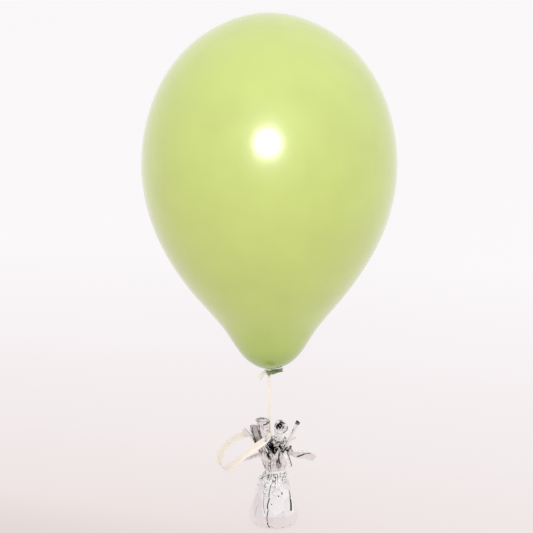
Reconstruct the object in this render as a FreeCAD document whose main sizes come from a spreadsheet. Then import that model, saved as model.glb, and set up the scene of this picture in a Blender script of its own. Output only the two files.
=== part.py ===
import FreeCAD, Part
import math
import os
import Sketcher
from FreeCAD import Placement, Rotation, Vector

# A round latex balloon, filled with helium, on a flat ribbon tied to a foil-wrapped weight.
# Millimetres, +Z up. The origin is the centre of the weight's resting face, and -Y is the front.

SIZES = {
    # Where the balloon and its ribbon stand, beside the weight's own axis
    "tether_x": -5.8,
    "balloon_y": -4.4,
    # Balloon
    "balloon_bottom": 182.5,
    "balloon_height": 393.4,
    "balloon_diameter": 281.2,
    "latex_wall": 0.2,
    "neck_radius": 2.4,
    "neck_length": 5.0,
    "neck_overlap": 1.5,
    "knot_radius": 3.9,
    "knot_drop": 5.2,
    "knot_forward": 0.8,
    "tail_length": 10.0,
    "tail_wall": 0.45,
    "tail_rise": 14.0,
    "mouth_width": 17.0,
    "mouth_thickness": 2.6,
    "lip_radius": 0.9,
    "loop_radius": 3.2,
    # Ribbon
    "ribbon_width": 5.0,
    "ribbon_thickness": 0.5,
    "ribbon_cord_radius": 0.6,
    "swivel_height": 167.0,
    "moving_gap": 0.3,
    "neck_loop_height": 181.2,
    "upper_knot_radius": 1.5,
    "upper_knot_depth": 0.75,
    "upper_knot_back": 0.55,
    "upper_knot_drop": 0.75,
    "strand_end_drop": 1.95,
    "tag_length": 13.0,
    "tag_lean": 41.0,
    "tag_reach": 11.5,
    "tag_drop": 10.8,
    "tag_back": 0.35,
    "hook_height": 102.0,
    "hook_wire_radius": 0.9,
    "hook_eye_radius": 3.3,
    "hook_foot_radius": 6.0,
    "hook_foot_height": 1.0,
    "hook_bend_height": 66.0,
    "link_radius": 2.3,
    "link_lift": 0.1,
    "lower_knot_radius": 1.7,
    "lower_knot_lift": 1.35,
    "ring_radius": 31.5,
    "ring_bundle_radius": 2.6,
    "ring_gap_angle": 82.0,
    "ring_droop": 31.0,
    "ring_tip": 9.0,
    # Weight
    "base_radius": 28.0,
    "base_corner": 7.0,
    "foil_thickness": 0.5,
    "shoulder_radius": 18.8,
    "shoulder_height": 49.0,
    "waist_radius": 10.6,
    "waist_height": 61.0,
    "waist_length": 3.0,
    "collar_radius": 16.8,
    "collar_height": 84.0,
    "tie_radius": 1.0,
    "disc_radius": 20.5,
    "disc_height": 1.2,
    "cup_bottom_radius": 24.8,
    "cup_top_radius": 16.6,
    "cup_height": 48.0,
    "cup_wall": 1.2,
    "fill_gap": 0.05,
    # Foil fringe
    "strip_thickness": 0.4,
    "stem_width": 4.0,
    "strip_width": 5.0,
}

# Places that several sub-parts share, as expressions on the sheet
BALLOON_PLACE = ("Sizes.tether_x", "Sizes.balloon_y", "0")
NECK_FOOT = "Sizes.balloon_bottom + Sizes.neck_overlap - Sizes.neck_length"
KNOT_HEIGHT = "Sizes.balloon_bottom - Sizes.knot_drop"
LINK_HEIGHT = "Sizes.hook_height + Sizes.link_lift"
LOWER_KNOT_HEIGHT = LINK_HEIGHT + " + Sizes.link_radius + Sizes.ribbon_cord_radius + Sizes.lower_knot_lift"
LINE_BOTTOM = LOWER_KNOT_HEIGHT + " + Sizes.lower_knot_radius * 0.8 + Sizes.moving_gap * 1.5"
LINE_TOP = "Sizes.swivel_height - Sizes.moving_gap"
UPPER_TOP = "Sizes.neck_loop_height - Sizes.strand_end_drop"
CUP_FOOT = "Sizes.foil_thickness + Sizes.disc_height"
WAIST_TOP = "Sizes.waist_height + Sizes.waist_length - 1"
COLLAR_BEND = "Sizes.waist_height + Sizes.waist_length + 9"

# Envelope outline: shares of the balloon's height and of its greatest radius, from the neck up
ENVELOPE_OUTLINE = [
    (0.025, 0.195),
    (0.069, 0.297),
    (0.194, 0.566),
    (0.390, 0.893),
    (0.545, 0.996),
    (0.877, 0.709),
    (0.939, 0.514),
]

# Rolled foil strips: where the stem starts, where the roll starts and ends, and its radius at each end
ROLLED_STRIPS = {
    "fringe_strip_01": ((-8.2, -0.8, 76), (-14, -1.5, 97), (-33.2, -3.5, 115.2), 2.6, 3.0),
    "fringe_strip_02": ((-6.8, -4.8, 76), (-18.3, -7.6, 98), (-22.5, -9.0, 118.5), 1.3, 3.7),
    "fringe_strip_03": ((-2.9, -8.0, 76), (-9.2, -11.4, 99), (-13.4, -16.4, 125.5), 3.0, 7.4),
    "fringe_strip_04": ((8.2, -1.6, 76), (16.7, -4, 99.5), (26.7, -3, 120.2), 1.8, 2.3),
}
CURL_STEM = ((2.9, -7.8, 76), (7.6, -8.4, 113.6))
CURL_CENTRE = (7.6, -12.5, 119.3)
CURL_RADIUS = 6.0
CURL_LENGTH = 8.0

# Bent foil strips: the direction that each leaves in, and its path as (distance from the axis, height),
# which goes on from the root that they all share
BENT_STRIP_ROOT = [(12, 74), (15.2, 84.5)]
BENT_STRIPS = {
    "fringe_strip_06": (206, [(19.5, 89.5), (26, 87), (42, 78)]),
    "fringe_strip_07": (-13, [(19, 89), (24, 86.5), (30, 83), (36, 86), (41, 84), (47, 79.5)]),
    "fringe_strip_08": (-47, [(18, 90), (21.5, 86.5), (25.5, 71.5)]),
    "fringe_strip_09": (20, [(19, 92), (27, 97)]),
    "fringe_strip_10": (50, [(18, 95), (24, 103)]),
    "fringe_strip_11": (82, [(17, 94), (20, 105)]),
    "fringe_strip_12": (114, [(20, 92), (28, 90), (35, 80)]),
    "fringe_strip_13": (160, [(16.5, 95), (22, 104)]),
}

doc = FreeCAD.newDocument("latex_balloon")
sheet = doc.addObject("Spreadsheet::Sheet", "Sizes")
for row, (alias, number) in enumerate(SIZES.items(), start=1):
    sheet.set(f"A{row}", alias.replace("_", " "))
    sheet.set(f"B{row}", str(number))
    sheet.setAlias(f"B{row}", alias)
doc.recompute()

subparts = []


def value(expression):
    """The number that an expression on the sheet gives now."""
    return float(sheet.evalExpression(str(expression)))


def bind(part, **expressions):
    """Binds properties of a part to expressions on the sheet."""
    for name, expression in expressions.items():
        part.setExpression(name.replace("__", "."), expression)


def keep(part, name, place=("0", "0", "0")):
    """Names a finished sub-part and stands it at a place given as three expressions."""
    part.Label = name
    for axis, expression in zip("xyz", place):
        part.setExpression(f"Placement.Base.{axis}", expression)
    subparts.append(part)


def keep_in_place(part, name):
    """Names a finished sub-part that already stands where it belongs."""
    part.Label = name
    subparts.append(part)


def primitive(kind, name, rotation=None, place=(), **expressions):
    """One of Part's own solids, sized and placed from the sheet."""
    part = doc.addObject(kind, name)
    bind(part, **expressions)
    if rotation is not None:
        part.Placement = Placement(Vector(), rotation)
    for axis, expression in zip("xyz", place):
        part.setExpression(f"Placement.Base.{axis}", expression)
    return part


def joined(name, pieces):
    """Several solids fused into one sub-part."""
    part = doc.addObject("Part::MultiFuse", name)
    part.Shapes = pieces
    return part


def hollowed(name, outside, inside):
    """One solid with another cut out of it."""
    part = doc.addObject("Part::Cut", name)
    part.Base = outside
    part.Tool = inside
    return part


def outline_sketch(body, corners):
    """A closed outline of straight sides on the body's XZ plane, each corner fixed by two expressions."""
    sketch = body.newObject("Sketcher::SketchObject", body.Name + "_outline")
    plane = next(f for f in body.Origin.OriginFeatures if f.Role == "XZ_Plane")
    sketch.AttachmentSupport = [(plane, "")]
    sketch.MapMode = "FlatFace"
    points = [Vector(value(across), value(up), 0) for across, up in corners]
    for i, point in enumerate(points):
        sketch.addGeometry(Part.LineSegment(point, points[(i + 1) % len(points)]), False)
    for i, (point, corner) in enumerate(zip(points, corners)):
        sketch.addConstraint(Sketcher.Constraint("Coincident", i, 2, (i + 1) % len(points), 1))
        for kind, distance, axis, expression in (
            ("DistanceX", point.x, -2, corner[0]),
            ("DistanceY", point.y, -1, corner[1]),
        ):
            if distance == 0:
                sketch.addConstraint(Sketcher.Constraint("PointOnObject", i, 1, axis))
                continue
            index = sketch.addConstraint(Sketcher.Constraint(kind, -1, 1, i, 1, distance))
            sketch.setExpression(f"Constraints[{index}]", str(expression))
    return sketch


def turned(name, corners):
    """A solid of revolution about the Z axis; corners are (radius, height) expressions."""
    body = doc.addObject("PartDesign::Body", name)
    sketch = outline_sketch(body, corners)
    turn = body.newObject("PartDesign::Revolution", name + "_turn")
    turn.Profile = sketch
    turn.ReferenceAxis = (sketch, ["V_Axis"])
    turn.Angle = 360
    return body


def direction_of(start, end):
    """The length of the run from start to end, and a rotation that points +Z along it."""
    run = Vector(*end) - Vector(*start)
    outward = Vector(start[0], start[1], 0)
    across = outward.cross(run)
    if across.Length < 1e-6:
        across = Vector(1, 0, 0)
    return run.Length, Rotation(across, Vector(), run, "ZXY")


# ---- Balloon ------------------------------------------------------------------------------------


def make_envelope():
    """The inflated latex skin: a thin shell of revolution with a small hole for the neck."""
    bottom = value("Sizes.balloon_bottom")
    height = value("Sizes.balloon_height")
    radius = value("Sizes.balloon_diameter / 2")
    wall = value("Sizes.latex_wall")
    neck = value("Sizes.neck_radius")

    def skin(inset):
        """The outline as one smooth curve, moved inwards by the wall's thickness."""
        points = [Vector(neck, 0, bottom + inset)]
        for up, out in ENVELOPE_OUTLINE:
            place = Vector(out * radius, 0, bottom + up * height)
            inwards = Vector(0, 0, bottom + 0.55 * height) - place
            points.append(place + inwards.normalize() * inset)
        points.append(Vector(0, 0, bottom + height - inset))
        along = [0.0]
        for before, after in zip(points, points[1:]):
            along.append(along[-1] + before.distanceToPoint(after))
        curve = Part.BSplineCurve()
        curve.interpolate(
            Points=points,
            Parameters=along,
            InitialTangent=Vector(1, 0, 0),
            FinalTangent=Vector(-1, 0, 0),
            Scale=False,
        )
        return curve

    outer = skin(0)
    inner = skin(wall)
    edges = [
        outer.toShape(),
        Part.LineSegment(outer.EndPoint, inner.EndPoint).toShape(),
        inner.toShape(),
        Part.LineSegment(inner.StartPoint, outer.StartPoint).toShape(),
    ]
    face = Part.Face(Part.Wire(Part.__sortEdges__(edges)))
    envelope = doc.addObject("Part::Feature", "balloon_envelope")
    envelope.Shape = face.revolve(Vector(), Vector(0, 0, 1), 360)
    keep(envelope, "balloon_envelope", BALLOON_PLACE)


def make_neck():
    """The gathered neck, which closes the envelope's hole and goes down into the knot."""
    neck = primitive("Part::Cylinder", "balloon_neck", Radius="Sizes.neck_radius", Height="Sizes.neck_length")
    keep(neck, "balloon_neck", (*BALLOON_PLACE[:2], NECK_FOOT))


def make_knot():
    """The knot in the neck: an oval lump just below the envelope, with the neck's end set into it."""
    lump = primitive(
        "Part::Ellipsoid",
        "knot_lump",
        place=("Sizes.tether_x", "Sizes.balloon_y - Sizes.knot_forward", KNOT_HEIGHT),
        Radius1="Sizes.knot_radius * 0.9",
        Radius2="Sizes.knot_radius * 1.1",
        Radius3="Sizes.knot_radius * 0.85",
    )
    socket = primitive(
        "Part::Cylinder",
        "knot_socket",
        place=(*BALLOON_PLACE[:2], NECK_FOOT),
        Radius="Sizes.neck_radius",
        Height="Sizes.neck_length",
    )
    keep(hollowed("neck_knot", lump, socket), "neck_knot")


def tail_placement(along):
    """A place on the tail's line, which leaves the knot sideways and rises a little under the balloon."""
    rise = math.radians(value("Sizes.tail_rise"))
    start = Vector(
        value("Sizes.tether_x + Sizes.knot_radius - 0.05"),
        value("Sizes.balloon_y - Sizes.knot_forward * 1.5"),
        value(KNOT_HEIGHT + " + 0.8"),
    )
    forward = Vector(math.cos(rise), 0, math.sin(rise))
    flat = Vector(0, 1, 0)
    return Placement(start + forward * along, Rotation(flat, Vector(), forward, "ZXY"))


def flat_section(name, along, long_radius, short_radius):
    """One oval cross-section of the tail."""
    section = doc.addObject("Part::Ellipse", name)
    bind(section, MajorRadius=long_radius, MinorRadius=short_radius)
    section.Placement = tail_placement(along)
    return section


def make_tail():
    """The flattened tail below the knot: a hollow trumpet that widens to the mouth."""
    length = value("Sizes.tail_length")
    shells = []
    for name, inset in (("tail_outside", "0"), ("tail_inside", "Sizes.tail_wall")):
        sections = []
        for share, across, through in (
            (0, "2.6", "1.9"),
            (0.5, "Sizes.mouth_width * 0.32", "1.6"),
            (1, "Sizes.mouth_width / 2", "Sizes.mouth_thickness / 2"),
        ):
            radii = (f"{across} - {inset}", f"{through} - {inset}")
            sections.append(flat_section(f"{name}_section_{len(sections)}", length * share, *radii))
        loft = doc.addObject("Part::Loft", name)
        loft.Sections = sections
        loft.Solid = True
        shells.append(loft)
    keep(hollowed("neck_tail", *shells), "neck_tail")


def make_lip():
    """The rolled bead around the mouth."""
    length = value("Sizes.tail_length")
    rim = flat_section("lip_line", length, "Sizes.mouth_width / 2", "Sizes.mouth_thickness / 2")
    bead = doc.addObject("Part::Circle", "lip_section")
    bind(bead, Radius="Sizes.lip_radius")
    at_rim = tail_placement(length + value("Sizes.lip_radius"))
    rim.Placement = at_rim
    bead.Placement = Placement(
        at_rim.multVec(Vector(value("Sizes.mouth_width / 2"), 0, 0)),
        at_rim.Rotation.multiply(Rotation(Vector(1, 0, 0), 90)),
    )
    lip = doc.addObject("Part::Sweep", "rolled_lip")
    lip.Sections = [bead]
    lip.Spine = (rim, ["Edge1"])
    lip.Solid = True
    lip.Frenet = True
    keep(lip, "rolled_lip")


def make_neck_loop():
    """The turn of ribbon tied round the neck, above the knot."""
    loop = primitive(
        "Part::Torus", "ribbon_neck_loop", Radius1="Sizes.loop_radius", Radius2="Sizes.ribbon_cord_radius",
    )
    keep(loop, "ribbon_neck_loop", (*BALLOON_PLACE[:2], "Sizes.neck_loop_height"))


# ---- Ribbon -------------------------------------------------------------------------------------


def make_upper_knot():
    """The ribbon's own knot, at the back of its loop round the neck."""
    knot = primitive(
        "Part::Ellipsoid",
        "ribbon_upper_knot",
        Radius1="Sizes.upper_knot_radius * 0.8",
        Radius2="Sizes.upper_knot_radius",
        Radius3="Sizes.upper_knot_depth",
    )
    height = "Sizes.neck_loop_height - Sizes.upper_knot_drop"
    keep(knot, "ribbon_upper_knot", ("Sizes.tether_x", "Sizes.upper_knot_back", height))


def make_tag_end():
    """The short free end of the ribbon beside its knot."""
    tag = primitive(
        "Part::Box",
        "ribbon_tag_end",
        rotation=Rotation(Vector(0, 1, 0), value("Sizes.tag_lean")),
        Length="Sizes.ribbon_width * 0.8",
        Width="Sizes.ribbon_thickness",
        Height="Sizes.tag_length",
    )
    place = ("Sizes.tether_x - Sizes.tag_reach", "Sizes.tag_back", "Sizes.neck_loop_height - Sizes.tag_drop")
    keep(tag, "ribbon_tag_end", place)


def make_strand(name, bottom, top):
    """A straight stretch of the flat ribbon, between two heights."""
    strand = primitive(
        "Part::Box",
        name,
        Length="Sizes.ribbon_width",
        Width="Sizes.ribbon_thickness",
        Height=f"{top} - ({bottom})",
    )
    keep(strand, name, ("Sizes.tether_x - Sizes.ribbon_width / 2", "0 - Sizes.ribbon_thickness / 2", bottom))


def make_lower_link():
    """The small loop of ribbon through the hook's eye, and the knot that closes it."""
    link = primitive(
        "Part::Torus",
        "ribbon_lower_loop",
        rotation=Rotation(Vector(0, 1, 0), 90),
        Radius1="Sizes.link_radius",
        Radius2="Sizes.ribbon_cord_radius",
    )
    keep(link, "ribbon_lower_loop", ("Sizes.tether_x", "0", LINK_HEIGHT))
    knot = primitive(
        "Part::Ellipsoid",
        "ribbon_lower_knot",
        Radius1="Sizes.lower_knot_radius * 0.8",
        Radius2="Sizes.lower_knot_radius",
        Radius3="Sizes.lower_knot_radius * 0.9",
    )
    keep(knot, "ribbon_lower_knot", ("Sizes.tether_x", "0", LOWER_KNOT_HEIGHT))


def ring_placement():
    """The coil leans down to the left from the hook, and its front edge a little lower than its back."""
    droop = math.radians(value("Sizes.ring_droop"))
    tip = math.radians(value("Sizes.ring_tip"))
    away = Vector(-math.cos(droop), 0, -math.sin(droop))
    front = Vector(0, -math.cos(tip), -math.sin(tip))
    hook_end = Vector(value("Sizes.tether_x") + 2, 0, value("Sizes.hook_height") + 2.6)
    return Placement(hook_end + away * value("Sizes.ring_radius + 1"), Rotation(away, front, Vector(), "XYZ"))


def make_ring():
    """The loose coil of spare ribbon: one solid of its outer shape, open where it passes the hook."""
    ring = primitive(
        "Part::Torus",
        "ribbon_ring",
        Radius1="Sizes.ring_radius",
        Radius2="Sizes.ring_bundle_radius",
        Angle3="360 - Sizes.ring_gap_angle",
    )
    place = ring_placement()
    half_gap = 180 + value("Sizes.ring_gap_angle / 2")
    ring.Placement = Placement(place.Base, place.Rotation.multiply(Rotation(Vector(0, 0, 1), half_gap)))
    keep_in_place(ring, "ribbon_ring")


# ---- Weight -------------------------------------------------------------------------------------


def make_weight():
    """The plaster-filled cup on its card disc, wrapped in foil that is gathered and tied above it."""
    foil = "Sizes.foil_thickness"
    wrap = turned("foil_wrap", [
        ("0", "0"),
        ("Sizes.base_radius - Sizes.base_corner", "0"),
        ("Sizes.base_radius - Sizes.base_corner * 0.3", "Sizes.base_corner * 0.3"),
        ("Sizes.base_radius", "Sizes.base_corner"),
        ("Sizes.base_radius - 0.6", "Sizes.base_corner + 8"),
        ("Sizes.shoulder_radius", "Sizes.shoulder_height"),
        ("Sizes.waist_radius + 1.8", "Sizes.waist_height - 4"),
        ("Sizes.waist_radius", "Sizes.waist_height - 1"),
        ("Sizes.waist_radius", WAIST_TOP),
        ("Sizes.hook_wire_radius * 2", WAIST_TOP),
        ("Sizes.hook_wire_radius * 2", "Sizes.waist_height - 6"),
        ("Sizes.waist_radius + 2.7", "Sizes.waist_height - 6"),
        (f"Sizes.shoulder_radius - {foil} * 1.2", "Sizes.shoulder_height - 0.2"),
        (f"Sizes.base_radius - 0.6 - {foil}", "Sizes.base_corner + 8"),
        (f"Sizes.base_radius - {foil}", "Sizes.base_corner"),
        (f"Sizes.base_radius - Sizes.base_corner * 0.3 - {foil}", f"Sizes.base_corner * 0.3 + {foil}"),
        (f"Sizes.base_radius - Sizes.base_corner - {foil}", foil),
        ("0", foil),
    ])
    keep(wrap, "foil_wrap")

    disc = primitive("Part::Cylinder", "base_disc", Radius="Sizes.disc_radius", Height="Sizes.disc_height")
    keep(disc, "base_disc", ("0", "0", foil))

    cup = turned("weight_cup", [
        ("Sizes.cup_bottom_radius - Sizes.cup_wall * 2", "0"),
        ("Sizes.cup_bottom_radius", "Sizes.cup_wall * 2.5"),
        ("Sizes.cup_top_radius", "Sizes.cup_height"),
        ("0", "Sizes.cup_height"),
        ("0", "Sizes.cup_height - Sizes.cup_wall"),
        ("Sizes.cup_top_radius - Sizes.cup_wall", "Sizes.cup_height - Sizes.cup_wall"),
        ("Sizes.cup_bottom_radius - Sizes.cup_wall * 3", "Sizes.cup_wall"),
        ("Sizes.cup_bottom_radius - Sizes.cup_wall * 3", "0"),
    ])
    keep(cup, "weight_cup", ("0", "0", CUP_FOOT))

    fill_foot = "Sizes.cup_bottom_radius - Sizes.cup_wall * 3 - Sizes.fill_gap"
    fill_top = "Sizes.cup_height - Sizes.cup_wall - Sizes.fill_gap"
    fill = turned("weight_fill", [
        ("0", "0"),
        (fill_foot, "0"),
        (fill_foot, "Sizes.cup_wall"),
        ("Sizes.cup_top_radius - Sizes.cup_wall - Sizes.fill_gap", fill_top),
        ("0", fill_top),
    ])
    keep(fill, "weight_fill", ("0", "0", CUP_FOOT))

    collar = turned("foil_collar", [
        ("Sizes.waist_radius - 0.6", WAIST_TOP),
        ("Sizes.waist_radius", WAIST_TOP),
        ("Sizes.collar_radius - 1.6", COLLAR_BEND),
        ("Sizes.collar_radius", "Sizes.collar_height"),
        (f"Sizes.collar_radius - {foil}", "Sizes.collar_height"),
        (f"Sizes.collar_radius - 1.6 - {foil}", COLLAR_BEND),
    ])
    keep(collar, "foil_collar")

    tie_line = "Sizes.waist_radius + Sizes.tie_radius"
    tie = primitive("Part::Torus", "neck_tie", Radius1=tie_line, Radius2="Sizes.tie_radius")
    keep(tie, "neck_tie", ("0", "0", "Sizes.waist_height + 0.5"))


def make_hook():
    """The wire hook on the cup: a foot, a leaning stem, and the eye that the ribbon is tied to."""
    foot_height = CUP_FOOT + " + Sizes.cup_height"
    foot = primitive(
        "Part::Cylinder",
        "hook_foot",
        place=("0", "0", foot_height),
        Radius="Sizes.hook_foot_radius",
        Height="Sizes.hook_foot_height",
    )
    bend = (0, 0, value("Sizes.hook_bend_height"))
    eye_centre = (value("Sizes.tether_x"), 0, value("Sizes.hook_height - Sizes.hook_eye_radius"))
    stem = primitive(
        "Part::Cylinder",
        "hook_stem",
        place=("0", "0", foot_height),
        Radius="Sizes.hook_wire_radius",
        Height=f"Sizes.hook_bend_height - ({foot_height})",
    )
    length, rotation = direction_of(bend, eye_centre)
    arm = doc.addObject("Part::Cylinder", "hook_arm")
    bind(arm, Radius="Sizes.hook_wire_radius")
    arm.Height = length - value("Sizes.hook_eye_radius")
    arm.Placement = Placement(Vector(*bend), rotation)
    elbow = primitive("Part::Sphere", "hook_elbow", Radius="Sizes.hook_wire_radius")
    elbow.Placement = Placement(Vector(*bend), Rotation())
    eye = primitive(
        "Part::Torus",
        "hook_eye",
        rotation=Rotation(Vector(1, 0, 0), 90),
        place=("Sizes.tether_x", "0", "Sizes.hook_height - Sizes.hook_eye_radius"),
        Radius1="Sizes.hook_eye_radius",
        Radius2="Sizes.hook_wire_radius",
    )
    keep(joined("ribbon_hook", [foot, stem, elbow, arm, eye]), "ribbon_hook")


# ---- Foil fringe --------------------------------------------------------------------------------


def make_stem(name, start, end):
    """The flat lower part of a rolled strip, from inside the collar to the roll."""
    length, rotation = direction_of(start, end)
    stem = doc.addObject("Part::Box", name + "_stem")
    bind(stem, Length="Sizes.stem_width", Width="Sizes.strip_thickness")
    stem.Height = length + 2
    centred = Vector(-value("Sizes.stem_width / 2"), -value("Sizes.strip_thickness / 2"), 0)
    stem.Placement = Placement(Vector(*start), rotation).multiply(Placement(centred, Rotation()))
    return stem


def make_roll(name, start, end, start_radius, end_radius):
    """The rolled upper part: a cone of foil, pinched shut at its lower end and open at the top."""
    length, rotation = direction_of(start, end)
    pinch = 1.0
    cones = []
    for side, inset, shut in (("outside", "0", 0), ("inside", "Sizes.strip_thickness", pinch)):
        cone = doc.addObject("Part::Cone", f"{name}_{side}")
        bind(cone, Radius1=f"{start_radius} - {inset}", Radius2=f"{end_radius} - {inset}")
        cone.Height = length - shut
        lifted = Placement(Vector(0, 0, shut), Rotation())
        cone.Placement = Placement(Vector(*start), rotation).multiply(lifted)
        cones.append(cone)
    return hollowed(name + "_roll", *cones)


def make_curl():
    """The strip that ends in a curl, seen end-on from the front."""
    name = "fringe_strip_05"
    stem = make_stem(name, *CURL_STEM)
    tubes = []
    for side, inset in (("outside", "0"), ("inside", "Sizes.strip_thickness")):
        tube = doc.addObject("Part::Cylinder", f"{name}_{side}")
        bind(tube, Radius=f"{CURL_RADIUS} - {inset}")
        tube.Height = CURL_LENGTH
        tube.Placement = Placement(Vector(*CURL_CENTRE), Rotation(Vector(1, 0, 0), -90))
        tubes.append(tube)
    keep_in_place(joined(name, [stem, hollowed(name + "_curl", *tubes)]), name)


def make_rolled_strips():
    """The strips that are rolled into tubes and cones."""
    for name, (root, start, end, start_radius, end_radius) in ROLLED_STRIPS.items():
        stem = make_stem(name, root, start)
        roll = make_roll(name, start, end, start_radius, end_radius)
        keep_in_place(joined(name, [stem, roll]), name)


def make_bent_strips():
    """The strips that only bend: a thin outline padded to the strip's width, turned to its direction."""
    half = value("Sizes.strip_thickness / 2")
    for name, (azimuth, path) in BENT_STRIPS.items():
        line = [Vector(r, z, 0) for r, z in BENT_STRIP_ROOT + path]
        left = []
        right = []
        for i, point in enumerate(line):
            before = line[max(i - 1, 0)]
            after = line[min(i + 1, len(line) - 1)]
            incoming = (point - before) if i else (after - point)
            outgoing = (after - point) if i < len(line) - 1 else (point - before)
            bisector = (incoming.normalize() + outgoing.normalize()).normalize()
            stretch = 1 / bisector.dot(outgoing)
            side = Vector(-bisector.y, bisector.x, 0) * half * stretch
            left.append(point + side)
            right.append(point - side)
        corners = [(round(p.x, 3), round(p.y, 3)) for p in right + left[::-1]]
        body = doc.addObject("PartDesign::Body", name)
        sketch = outline_sketch(body, corners)
        pad = body.newObject("PartDesign::Pad", name + "_pad")
        pad.Profile = sketch
        pad.SideType = "Symmetric"
        pad.setExpression("Length", "Sizes.strip_width")
        body.Placement = Placement(Vector(), Rotation(Vector(0, 0, 1), azimuth))
        keep_in_place(body, name)


# ---- Build and write ----------------------------------------------------------------------------


def build():
    make_envelope()
    make_neck()
    make_knot()
    make_tail()
    make_lip()
    make_neck_loop()
    make_upper_knot()
    make_tag_end()
    make_strand("ribbon_upper", "Sizes.swivel_height", UPPER_TOP)
    make_strand("ribbon_line", LINE_BOTTOM, LINE_TOP)
    make_lower_link()
    make_ring()
    make_weight()
    make_hook()
    make_rolled_strips()
    make_bent_strips()
    make_curl()
    doc.recompute()


def check():
    """Stops if any object failed or any sub-part isn't one or more valid closed solids."""
    for item in doc.Objects:
        if "Invalid" in item.State or "Error" in item.State:
            raise RuntimeError(f"{item.Label} failed: {item.State}")
    for part in subparts:
        shape = part.Shape
        if shape.isNull() or not shape.isValid() or not shape.Solids or shape.Volume <= 0:
            raise RuntimeError(f"{part.Label} has no valid solid")


def write():
    os.makedirs("parts", exist_ok=True)
    for part in subparts:
        part.Shape.exportStep(f"parts/{part.Label}.step")
        print(f"{part.Label}: {len(part.Shape.Solids)} solid, {part.Shape.Volume:.0f} mm3")


build()
check()
write()
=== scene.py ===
import math

import bpy
import numpy as np
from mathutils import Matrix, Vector


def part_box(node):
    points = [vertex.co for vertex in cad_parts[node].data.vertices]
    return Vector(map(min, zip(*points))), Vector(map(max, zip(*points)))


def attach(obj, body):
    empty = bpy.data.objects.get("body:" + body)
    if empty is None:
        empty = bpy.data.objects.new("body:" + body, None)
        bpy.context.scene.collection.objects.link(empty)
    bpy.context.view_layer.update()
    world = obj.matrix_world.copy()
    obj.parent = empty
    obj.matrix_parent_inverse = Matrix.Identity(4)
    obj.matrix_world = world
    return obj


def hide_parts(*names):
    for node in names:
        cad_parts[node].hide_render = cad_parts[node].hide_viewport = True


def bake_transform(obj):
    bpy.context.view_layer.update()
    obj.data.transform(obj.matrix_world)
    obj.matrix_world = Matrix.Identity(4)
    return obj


# A pearl-green latex balloon on a flat ribbon, tied to a foil-wrapped weight.
# Shapes are worked out in millimetres in the frame's axes, and become metres as each mesh is made.

MM = 0.001
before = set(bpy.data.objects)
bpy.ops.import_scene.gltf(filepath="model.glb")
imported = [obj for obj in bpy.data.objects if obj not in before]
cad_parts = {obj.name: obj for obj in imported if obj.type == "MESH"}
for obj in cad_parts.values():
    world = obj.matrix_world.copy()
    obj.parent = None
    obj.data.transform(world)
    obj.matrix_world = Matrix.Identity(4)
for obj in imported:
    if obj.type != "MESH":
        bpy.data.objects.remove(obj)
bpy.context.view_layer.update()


def box_mm(node):
    """A CAD node's lowest and highest corners, in millimetres."""
    low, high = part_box(node)
    return np.array(low) / MM, np.array(high) / MM


ENVELOPE_LOW, ENVELOPE_HIGH = box_mm("balloon_envelope")
KNOT_LOW, KNOT_HIGH = box_mm("neck_knot")
LOOP_LOW, LOOP_HIGH = box_mm("ribbon_neck_loop")
LOWER_KNOT_LOW, LOWER_KNOT_HIGH = box_mm("ribbon_lower_knot")
UPPER_KNOT_LOW, UPPER_KNOT_HIGH = box_mm("ribbon_upper_knot")
LINK_LOW, LINK_HIGH = box_mm("ribbon_lower_loop")

BALLOON_X, BALLOON_Y = (ENVELOPE_LOW[:2] + ENVELOPE_HIGH[:2]) / 2
BALLOON_BOTTOM = ENVELOPE_LOW[2]
BALLOON_HEIGHT = ENVELOPE_HIGH[2] - ENVELOPE_LOW[2]
BALLOON_RADIUS = (ENVELOPE_HIGH[0] - ENVELOPE_LOW[0]) / 2


# ---- Camera, lights and stage -------------------------------------------------------------------

CAMERA_PLACE = (-8.9, -1400.0, 501.6)
CAMERA_PITCH = 8.3
CAMERA_LENS = 85.55
LIGHT_AIM = (-8, 0, 430)
SOFTBOX_PLACE, SOFTBOX_WIDTH, SOFTBOX_HEIGHT, SOFTBOX_POWER = (-42, -1420, 800), 590, 440, 12
KEY_PLACE, KEY_WIDTH, KEY_POWER = (-42, -1420, 765), 380, 5.5
WORLD_STRENGTH = 1.07
WORLD_COLOURS = [(0.0, (0.60, 0.55, 0.55)), (1.0, (0.985, 0.97, 0.975))]
# The paper: a floor just below the weight, a quarter round of SWEEP_RADIUS and a wall
FLOOR_FRONT, FLOOR_DROP, SWEEP_START, SWEEP_RADIUS, SWEEP_STEPS = -3000, 0.3, 700, 1200, 16
WALL_TOP, PAPER_HALF_WIDTH = 4000, 3500.0
# The backdrop's own light, as (share of the way from the floor up the wall, colour)
BACKDROP_COLOURS = [
    (0.0, (0.62, 0.545, 0.535)), (0.03, (0.70, 0.625, 0.62)), (0.12, (0.74, 0.685, 0.69)),
    (0.36, (0.785, 0.75, 0.762)), (0.60, (0.81, 0.79, 0.798)), (1.0, (0.81, 0.79, 0.798)),
]


def make_camera():
    data = bpy.data.cameras.new("camera")
    data.lens = CAMERA_LENS
    data.sensor_width = 36.0
    camera = bpy.data.objects.new("camera", data)
    camera.location = Vector(CAMERA_PLACE) * MM
    camera.rotation_euler = (math.radians(90 - CAMERA_PITCH), 0, 0)
    bpy.context.collection.objects.link(camera)
    bpy.context.scene.camera = camera


def make_light(name, place, aim, size, power, shape="DISK"):
    """An area light at a place, aimed at a point, both in millimetres."""
    data = bpy.data.lights.new(name, "AREA")
    data.shape = shape
    data.size = size * MM
    data.energy = power
    light = bpy.data.objects.new(name, data)
    light.location = Vector(place) * MM
    light.rotation_euler = (Vector(aim) - Vector(place)).to_track_quat("-Z", "Y").to_euler()
    bpy.context.collection.objects.link(light)
    return light


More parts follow.
